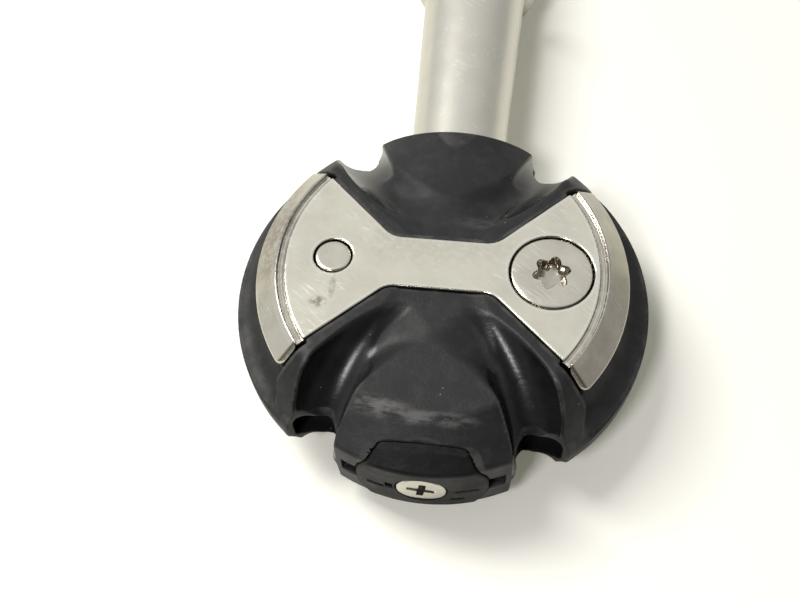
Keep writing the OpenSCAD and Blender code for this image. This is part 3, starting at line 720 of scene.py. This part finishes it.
class Shade:
    """Short names for building one procedural material in object millimetres."""

    def __init__(self, name):
        self.mat = bpy.data.materials.new(name)
        self.mat.use_nodes = True
        self.tree = self.mat.node_tree
        self.bsdf = self.tree.nodes["Principled BSDF"]
        coords = self.tree.nodes.new("ShaderNodeTexCoord")
        scale = self.tree.nodes.new("ShaderNodeVectorMath")
        scale.operation = "SCALE"
        scale.inputs["Scale"].default_value = 1.0 / MM
        self.link(coords.outputs["Object"], scale.inputs[0])
        self.place = scale.outputs[0]

    def link(self, a, b):
        self.tree.links.new(a, b)

    def put(self, socket, value):
        if hasattr(value, "links"):
            self.link(value, socket)
        else:
            socket.default_value = value

    def stretch(self, x, y, z, turn=0.0):
        """Object millimetres, turned about Z and squeezed per axis for grain along one of them."""
        turned_place = self.place
        if turn:
            rotate = self.tree.nodes.new("ShaderNodeVectorRotate")
            rotate.rotation_type = "Z_AXIS"
            self.link(self.place, rotate.inputs["Vector"])
            rotate.inputs["Angle"].default_value = math.radians(turn)
            turned_place = rotate.outputs["Vector"]
        node = self.tree.nodes.new("ShaderNodeVectorMath")
        node.operation = "MULTIPLY"
        self.link(turned_place, node.inputs[0])
        node.inputs[1].default_value = (x, y, z)
        return node.outputs[0]

    def noise(self, size, detail=3.0, rough=0.5, place=None):
        node = self.tree.nodes.new("ShaderNodeTexNoise")
        self.link(place or self.place, node.inputs["Vector"])
        node.inputs["Scale"].default_value = 1.0 / size
        node.inputs["Detail"].default_value = detail
        node.inputs["Roughness"].default_value = rough
        return node.outputs["Fac"]

    def cells(self, size):
        node = self.tree.nodes.new("ShaderNodeTexVoronoi")
        self.link(self.place, node.inputs["Vector"])
        node.inputs["Scale"].default_value = 1.0 / size
        return node.outputs["Distance"]

    def math(self, op, a, b=0.0, clamp=False):
        node = self.tree.nodes.new("ShaderNodeMath")
        node.operation = op
        node.use_clamp = clamp
        self.put(node.inputs[0], a)
        self.put(node.inputs[1], b)
        return node.outputs[0]

    def range(self, value, low, high, to_low=0.0, to_high=1.0):
        node = self.tree.nodes.new("ShaderNodeMapRange")
        node.interpolation_type = "SMOOTHSTEP"
        self.put(node.inputs["Value"], value)
        node.inputs["From Min"].default_value = low
        node.inputs["From Max"].default_value = high
        node.inputs["To Min"].default_value = to_low
        node.inputs["To Max"].default_value = to_high
        return node.outputs["Result"]

    def mix(self, fac, a, b):
        node = self.tree.nodes.new("ShaderNodeMix")
        node.data_type = "RGBA"
        self.put(node.inputs["Factor"], fac)
        for socket, value in ((node.inputs["A"], a), (node.inputs["B"], b)):
            self.put(socket, (*value, 1.0) if isinstance(value, tuple) else value)
        return node.outputs["Result"]

    def value(self, name):
        node = self.tree.nodes.new("ShaderNodeAttribute")
        node.attribute_name = name
        return node.outputs["Fac"]

    def near(self, x, y, z, radius, soft, squeeze=(1.0, 1.0, 1.0)):
        """1 within radius millimetres of a place on the piece, fading over soft millimetres."""
        off = self.tree.nodes.new("ShaderNodeVectorMath")
        off.operation = "SUBTRACT"
        self.link(self.place, off.inputs[0])
        off.inputs[1].default_value = (x, y, z)
        by = self.tree.nodes.new("ShaderNodeVectorMath")
        by.operation = "MULTIPLY"
        self.link(off.outputs[0], by.inputs[0])
        by.inputs[1].default_value = squeeze
        size = self.tree.nodes.new("ShaderNodeVectorMath")
        size.operation = "LENGTH"
        self.link(by.outputs[0], size.inputs[0])
        return self.range(size.outputs["Value"], radius, radius + soft, 1.0, 0.0)

    def bump(self, height, depth_mm):
        """Height between 0 and 1, as millimetres of relief."""
        node = self.tree.nodes.new("ShaderNodeBump")
        node.inputs["Strength"].default_value = 1.0
        node.inputs["Distance"].default_value = depth_mm * MM
        self.link(height, node.inputs["Height"])
        if self.bsdf.inputs["Normal"].links:
            self.link(self.bsdf.inputs["Normal"].links[0].from_socket, node.inputs["Normal"])
        self.link(node.outputs["Normal"], self.bsdf.inputs["Normal"])

    def set(self, **values):
        names = {"color": "Base Color", "rough": "Roughness", "metal": "Metallic", "ior": "IOR",
                 "specular": "Specular IOR Level"}
        for key, value in values.items():
            socket = self.bsdf.inputs[names[key]]
            self.put(socket, (*value, 1.0) if isinstance(value, tuple) else value)
        return self.mat


def nylon(name, dark, light, scuffs, wear, gloss, rubs=()):
    """Glass-filled nylon, dulled and scuffed: paler along its edges, dusty in its corners.

    It is polished by use in the scoops, and painted near-black as shade in its notches' hollows.
    Each rub is a worn place: x, y, z, radius, squeeze and strength.
    """
    m = Shade(name)
    edge, hollow, smooth = m.value("edge"), m.value("hollow"), m.value("smooth")
    cloud = m.noise(4.0, 4.0, 0.6)
    base = m.mix(m.range(cloud, 0.35, 0.7), dark, light)
    rub = m.math("MULTIPLY", m.range(m.noise(1.6, 5.0, 0.65), 0.45, 0.72), scuffs)
    rub = m.math("MULTIPLY", rub, m.range(smooth, 0.0, 1.0, 1.0, 0.25))
    worn = m.math("MULTIPLY", m.range(edge, 0.12, 0.6), m.range(m.noise(2.6, 4.0, 0.6), 0.35, 0.7),
                  clamp=True)
    dust = m.math("MULTIPLY", m.range(hollow, 0.2, 0.6), 0.08)
    pit = m.value("pit")
    speck = m.range(m.cells(1.7), 0.02, 0.07, 1.0, 0.0)
    speck = m.math("MULTIPLY", speck, m.range(m.noise(5.0), 0.5, 0.62))
    tone = m.mix(rub, base, SCUFF)
    tone = m.mix(m.math("MULTIPLY", worn, wear), tone, WORN_EDGE)
    for x, y, z, radius, squeeze, strength in rubs:
        mark = m.near(x, y, z, radius * 0.4, radius, squeeze)
        streaks = m.noise(0.9, 4.0, 0.65, m.stretch(0.4, 1.0, 1.0))
        mark = m.math("MULTIPLY", mark, m.range(streaks, 0.38, 0.62))
        tone = m.mix(m.math("MULTIPLY", mark, strength), tone, RUBBED)
    tone = m.mix(dust, tone, DUST)
    # painted shade: the notches' moulded hollows are coloured near-black where shade falls
    tone = m.mix(pit, tone, PIT_PAINTED_SHADE)
    tone = m.mix(m.math("MULTIPLY", speck, 0.6), tone, SPECK)
    rough = m.range(m.noise(3.0, 5.0, 0.6), 0.3, 0.7, 0.45, 0.58)
    rough = m.math("ADD", rough, m.math("MULTIPLY", worn, 0.1))
    rough = m.math("MULTIPLY", rough, m.range(smooth, 0.0, 1.0, 1.0, 0.46))
    rough = m.math("MAXIMUM", rough, m.math("MULTIPLY", pit, 0.9))
    relief = m.range(smooth, 0.0, 1.0, 1.0, 0.4)
    m.bump(m.math("MULTIPLY", m.noise(0.35, 4.0, 0.6), relief), 0.02)
    m.bump(m.math("MULTIPLY", m.noise(1.4, 3.0, 0.55), relief), 0.03)
    m.bump(m.noise(0.5, 2.0, 0.5, m.stretch(0.25, 1.0, 1.0)), 0.01)
    return m.set(color=tone, rough=rough, ior=1.5, specular=gloss)


def steel(name, bright, dull, rough_low, rough_high, grain=(1.0, 1.0, 1.0), grain_depth=0.004,
          grime_and_shade=0.0, stains_and_shade=(), clean=None):
    """Bare stainless steel with a worked grain, hairline scratches and handling marks.

    The grime and shade amount darkens its hollows: dirt in a plate's, painted shade in a screw's
    recess.
    Each stain is x, y, z, radius, squeeze and strength; some stand for painted shade.
    With a clean place (x, y, z, radius, soft), a brown film lies on the lips all round but there.
    """
    m = Shade(name)
    cloud = m.noise(5.0, 5.0, 0.62)
    fine = m.noise(0.22, 4.0, 0.6, m.stretch(*grain))
    color = m.mix(m.range(cloud, 0.3, 0.75), bright, dull)
    hair = m.range(m.noise(0.17, 2.0, 0.5, m.stretch(0.06, 1.0, 1.0, 38.0)), 0.57, 0.72)
    cross_hair = m.range(m.noise(0.14, 2.0, 0.5, m.stretch(0.06, 1.0, 1.0, 12.0)), 0.62, 0.76)
    scratch = m.math("ADD", hair, cross_hair, clamp=True)
    scratch = m.math("MULTIPLY", scratch, m.range(m.noise(3.4), 0.4, 0.65))
    color = m.mix(m.math("MULTIPLY", scratch, 0.5), color, BRIGHT_STEEL)
    if grime_and_shade:
        # dirt in a plate's hollows, and painted shade inside a screw's recess, darken the steel
        # here
        dirt_and_shade = m.range(m.noise(1.6, 4.0), 0.2, 0.65, 0.5, 1.0)
        dirt_and_shade = m.math("MULTIPLY", m.range(m.value("hollow"), 0.15, 0.75), dirt_and_shade)
        color = m.mix(m.math("MULTIPLY", dirt_and_shade, grime_and_shade), color, GRIME_AND_SHADE)
        edge = m.range(m.value("edge"), 0.25, 0.8)
        color = m.mix(m.math("MULTIPLY", edge, 0.2), color, BRIGHT_STEEL)
    if clean:
        wings = m.near(0.0, -CENTRE_OFFSET, 0.0, LIP_IN_R - 0.1, 0.3, (1.0, 1.0, 0.0))
        lips = m.math("SUBTRACT", 1.0, wings)
        lips = m.math("MULTIPLY", lips, m.range(m.near(*clean), 0.0, 1.0, 1.0, 0.25))
        lips = m.math("MULTIPLY", lips, m.range(m.noise(3.5, 4.0, 0.6), 0.3, 0.65, 0.45, 0.7))
        color = m.mix(lips, color, FILM)
    # handling stains, and a painted shade on the strip, darken the steel here
    for x, y, z, radius, squeeze, strength in stains_and_shade:
        mark = m.near(x, y, z, radius * 0.4, radius, squeeze)
        mark = m.math("MULTIPLY", mark, m.range(m.noise(0.7, 4.0, 0.7), 0.35, 0.6))
        color = m.mix(m.math("MULTIPLY", mark, strength), color, SMUDGE_AND_SHADE)
    rough = m.math("ADD", m.range(m.noise(2.2, 5.0, 0.65), 0.3, 0.72, rough_low, rough_high),
                   m.math("MULTIPLY", scratch, 0.08))
    m.bump(fine, grain_depth)
    m.bump(scratch, 0.002)
    return m.set(color=color, rough=rough, metal=1.0)


def plain(name, color, other, rough_low, rough_high, metal=0.0, size=1.5, bump=0.01):
    """A small part's finish: two tones, varied gloss and a fine surface."""
    m = Shade(name)
    tone = m.mix(m.range(m.noise(size, 4.0, 0.6), 0.3, 0.7), color, other)
    rough = m.range(m.noise(size * 0.6, 4.0, 0.6), 0.3, 0.7, rough_low, rough_high)
    m.bump(m.noise(size * 0.2, 3.0, 0.5), bump)
    return m.set(color=tone, rough=rough, metal=metal)


NOSE_SCUFFS = (
    (-5.2, -70.0, 7.6, 1.6, (0.5, 1.6, 1.0), 0.8),
    (-1.8, -71.0, 7.5, 1.5, (0.4, 2.0, 1.0), 0.7),
    (2.6, -71.0, 7.5, 1.4, (0.45, 2.0, 1.0), 0.6),
    (3.3, -47.0, 8.0, 1.2, (0.5, 1.2, 1.0), 0.25),
)
PLATE_STAINS_AND_SHADE = (
    (-12.9, -59.0, 8.5, 0.9, (1.0, 1.3, 1.0), 0.7),
    (-11.6, -56.9, 8.5, 0.35, (1.0, 0.25, 1.0), 0.5),
    (-19.2, -47.0, 7.0, 5.5, (2.5, 0.55, 1.0), 0.5),
    # painted shade: this entry darkens the top of the strip near its upper edge, not a smudge
    (0.0, -50.6, 8.5, 5.0, (0.45, 1.5, 1.0), 0.09),
)
RUBBED_LIP = (-17.0, -62.5, 7.0, 5.0, 4.0)

BLACK = nylon("worn_black_nylon", (0.0066, 0.0069, 0.007), (0.011, 0.0115, 0.0115),
              0.22, 0.45, 0.3, NOSE_SCUFFS)
CAP_BLACK = nylon("worn_cap_nylon", (0.0035, 0.0037, 0.0037), (0.006, 0.0062, 0.0062),
                  0.14, 0.12, 0.15)
PLATE = steel("satin_plate_steel", (0.64, 0.62, 0.53), (0.56, 0.54, 0.455), 0.155, 0.19,
              (0.2, 1.0, 1.0), 0.003, 0.6, PLATE_STAINS_AND_SHADE, RUBBED_LIP)
SCREW = steel("ground_screw_steel", (0.56, 0.535, 0.46), (0.48, 0.45, 0.39), 0.16, 0.2,
              (1.0, 1.0, 1.0), 0.002, 0.9)
SPINDLE_STEEL = steel("ground_spindle_steel", (0.58, 0.56, 0.495), (0.55, 0.53, 0.47), 0.3, 0.33,
                      (1.0, 0.12, 1.0), 0.0015)
ALLOY = plain("turned_alloy", (0.5, 0.5, 0.51), (0.4, 0.4, 0.41), 0.3, 0.45, 1.0)
RUBBER = plain("seal_rubber", (0.014, 0.014, 0.014), (0.022, 0.021, 0.02), 0.55, 0.7)
BEARING = plain("bearing_steel", (0.5, 0.49, 0.47), (0.42, 0.41, 0.4), 0.18, 0.3, 1.0, 1.5, 0.003)
BALL = plain("polished_ball_steel", (0.6, 0.59, 0.58), (0.52, 0.51, 0.5), 0.08, 0.16, 1.0, 1.0,
             0.001)
BRASS = plain("cage_brass", (0.42, 0.28, 0.1), (0.34, 0.22, 0.08), 0.28, 0.42, 1.0)
DARK = plain("dark_spring_steel", (0.09, 0.09, 0.095), (0.06, 0.06, 0.065), 0.3, 0.45, 1.0)

for piece, mat, body, slot, node in (
        (SHELL, BLACK, "pedal_group", "black_nylon", "body_shell"),
        (CAP, CAP_BLACK, "pedal_group", "cap_nylon", "end_cap"),
        (UPPER_PLATE, PLATE, "pedal_group", "plate_steel", "upper_plate"),
        (LOWER_PLATE, PLATE, "pedal_group", "plate_steel", "lower_plate"),
        (UPPER_SCREW, SCREW, "pedal_group", "screw_steel", "upper_plate_screw"),
        (LOWER_SCREW, SCREW, "pedal_group", "screw_steel", "lower_plate_screw"),
        (PORT_SCREW, SCREW, "pedal_group", "screw_steel", "grease_port_screw"),
        (SPINDLE, SPINDLE_STEEL, "spindle_group", "spindle_steel", "spindle")):
    piece.data.materials.append(mat)
    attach(piece, body)
    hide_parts(node)

NODE_FINISH = {
    "bearing_sleeve": ALLOY, "neck_seal": RUBBER, "end_cap_o_ring": RUBBER, "snap_ring": DARK,
    "end_washer": ALLOY, "end_bolt": DARK, "needle_bearing_shell": BEARING,
    "needle_bearing_cage": DARK, "needle_bearing_rollers": BALL,
}
for place in ("middle", "end"):
    NODE_FINISH.update({
        f"{place}_bearing_inner_ring": BEARING, f"{place}_bearing_outer_ring": BEARING,
        f"{place}_bearing_cage": BRASS, f"{place}_bearing_balls": BALL,
        f"{place}_bearing_shields": BEARING,
    })
for node, mat in NODE_FINISH.items():
    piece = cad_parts[node]
    for index in range(max(1, len(piece.data.materials))):
        if piece.data.materials:
            piece.material_slots[index].material = mat
        else:
            piece.data.materials.append(mat)

# ---------------------------------------------------------------------------
# Stage: white table, soft light from the left, and the photograph's camera.
# ---------------------------------------------------------------------------

FLOOR_Z = -PLATE_Z * MM - 0.00005
TABLE_COLOR = (0.97, 0.96, 0.9, 1.0)
TABLE_GLOW = (1.0, 1.0, 0.75, 1.0)
GLOW_LEVEL = 0.14


def flat_stage(name, size):
    """A level square under the part, in metres."""
    mesh = bpy.data.meshes.new(name)
    half = size / 2.0
    corners = ((-half, -half), (half, -half), (half, half), (-half, half))
    mesh.from_pydata([(x, y, FLOOR_Z) for x, y in corners], [], [(0, 1, 2, 3)])
    table = bpy.data.objects.new(name, mesh)
    bpy.context.scene.collection.objects.link(table)
    return table


def seen_by(tree, *kinds):
    """1 for rays of any of the given kinds and 0 for the rest."""
    rays = tree.nodes.new("ShaderNodeLightPath")
    found = rays.outputs[kinds[0]]
    for kind in kinds[1:]:
        either = tree.nodes.new("ShaderNodeMath")
        either.operation = "MAXIMUM"
        tree.links.new(found, either.inputs[0])
        tree.links.new(rays.outputs[kind], either.inputs[1])
        found = either.outputs[0]
    return found


def table_finish():
    """White laminate; the camera sees it a little brighter than it lights the part."""
    mat = bpy.data.materials.new("white_table")
    mat.use_nodes = True
    tree = mat.node_tree
    bsdf = tree.nodes["Principled BSDF"]
    bsdf.inputs["Base Color"].default_value = TABLE_COLOR
    bsdf.inputs["Roughness"].default_value = 0.55
    bsdf.inputs["Specular IOR Level"].default_value = 0.2
    glow = tree.nodes.new("ShaderNodeMath")
    glow.operation = "MULTIPLY"
    glow.inputs[1].default_value = GLOW_LEVEL
    seen = seen_by(tree, "Is Camera Ray", "Is Glossy Ray", "Is Transmission Ray")
    tree.links.new(seen, glow.inputs[0])
    bsdf.inputs["Emission Color"].default_value = TABLE_GLOW
    tree.links.new(glow.outputs[0], bsdf.inputs["Emission Strength"])
    return mat


TABLE = flat_stage("table_top", 3.0)
TABLE.data.materials.append(table_finish())

world = bpy.data.worlds.new("studio")
bpy.context.scene.world = world
world.use_nodes = True
nodes, links = world.node_tree.nodes, world.node_tree.links
background = nodes["Background"]
background.inputs["Color"].default_value = (1.0, 1.0, 1.0, 1.0)


def facing(axis, low, high, to_low, to_high):
    """A smooth change of the world's level, by the angle to an axis."""
    coords = nodes.new("ShaderNodeTexCoord")
    dot = nodes.new("ShaderNodeVectorMath")
    dot.operation = "DOT_PRODUCT"
    links.new(coords.outputs["Generated"], dot.inputs[0])
    dot.inputs[1].default_value = axis
    level = nodes.new("ShaderNodeMapRange")
    level.interpolation_type = "SMOOTHSTEP"
    for key, value in (("From Min", low), ("From Max", high),
                       ("To Min", to_low), ("To Max", to_high)):
        level.inputs[key].default_value = value
    links.new(dot.outputs["Value"], level.inputs["Value"])
    return level.outputs["Result"]


def product(a, b):
    """The two values multiplied, in the world's node tree."""
    node = nodes.new("ShaderNodeMath")
    node.operation = "MULTIPLY"
    links.new(a, node.inputs[0])
    links.new(b, node.inputs[1])
    return node.outputs["Value"]


LIT_LEVEL = 0.27            # the world's level where it lights the part
SEEN_LEVEL = 1.0            # and where it is seen or mirrored

# A room that is bright overhead and to the left, dimmer to the right, where the photographer
# stands and in front.
room = product(facing((-0.45, 0.2, 0.87), -0.1, 0.9, 0.6, 1.0),
               facing((0.09, -0.5, 0.86), 0.75, 0.96, 1.0, 0.25))
room = product(room, facing((0.0, -0.98, 0.2), 0.15, 0.95, 1.0, 0.25))
level = nodes.new("ShaderNodeMapRange")
level.inputs["To Min"].default_value = LIT_LEVEL
level.inputs["To Max"].default_value = SEEN_LEVEL
seen = seen_by(world.node_tree, "Is Camera Ray", "Is Transmission Ray", "Is Glossy Ray")
links.new(seen, level.inputs["Value"])
links.new(product(level.outputs["Result"], room), background.inputs["Strength"])


def facing_matrix(right, up, back, place):
    """A lamp's or camera's place and axes as one matrix."""
    rows = [(right[i], up[i], back[i], place[i]) for i in range(3)]
    return Matrix(rows + [(0.0, 0.0, 0.0, 1.0)])


def softbox(name, place, target, size, power, color):
    """A rectangular lamp of the given size in metres and power in watts."""
    light = bpy.data.lights.new(name, "AREA")
    light.shape = "RECTANGLE"
    light.size, light.size_y = size
    light.energy = power
    light.color = color
    lamp = bpy.data.objects.new(name, light)
    back = np.array(place, dtype=float) - np.array(target, dtype=float)
    back /= np.linalg.norm(back)
    right = np.cross((0.0, 0.0, 1.0), back)
    right /= np.linalg.norm(right)
    lamp.matrix_world = facing_matrix(right, np.cross(back, right), back, place)
    bpy.context.scene.collection.objects.link(lamp)
    return lamp


softbox("window_left", (-0.27, 0.07, 0.45), (0.0, -0.05, 0.0), (0.16, 0.28), 2.2,
        (1.0, 0.99, 0.96))
softbox("ceiling_lamp", (-0.09, -0.24, 0.30), (0.0, -0.06, 0.0), (0.06, 0.06), 0.5,
        (1.0, 0.97, 1.0))

# The camera, fitted to the photograph.
CAMERA_PLACE = (0.00607, -0.11343, 0.1047)
CAMERA_RIGHT = (0.99265, 0.11503, -0.03771)
CAMERA_UP = (-0.08052, 0.86007, 0.50379)
CAMERA_BACK = (0.09039, -0.49705, 0.86300)

camera = bpy.data.cameras.new("photo_camera")
camera.sensor_width = 36.0
camera.lens = 46.44
camera.clip_start = 0.005
view = bpy.data.objects.new("photo_camera", camera)
bpy.context.scene.collection.objects.link(view)
view.matrix_world = facing_matrix(CAMERA_RIGHT, CAMERA_UP, CAMERA_BACK, CAMERA_PLACE)
bpy.context.scene.camera = view
bpy.context.scene.view_settings.view_transform = "Standard"
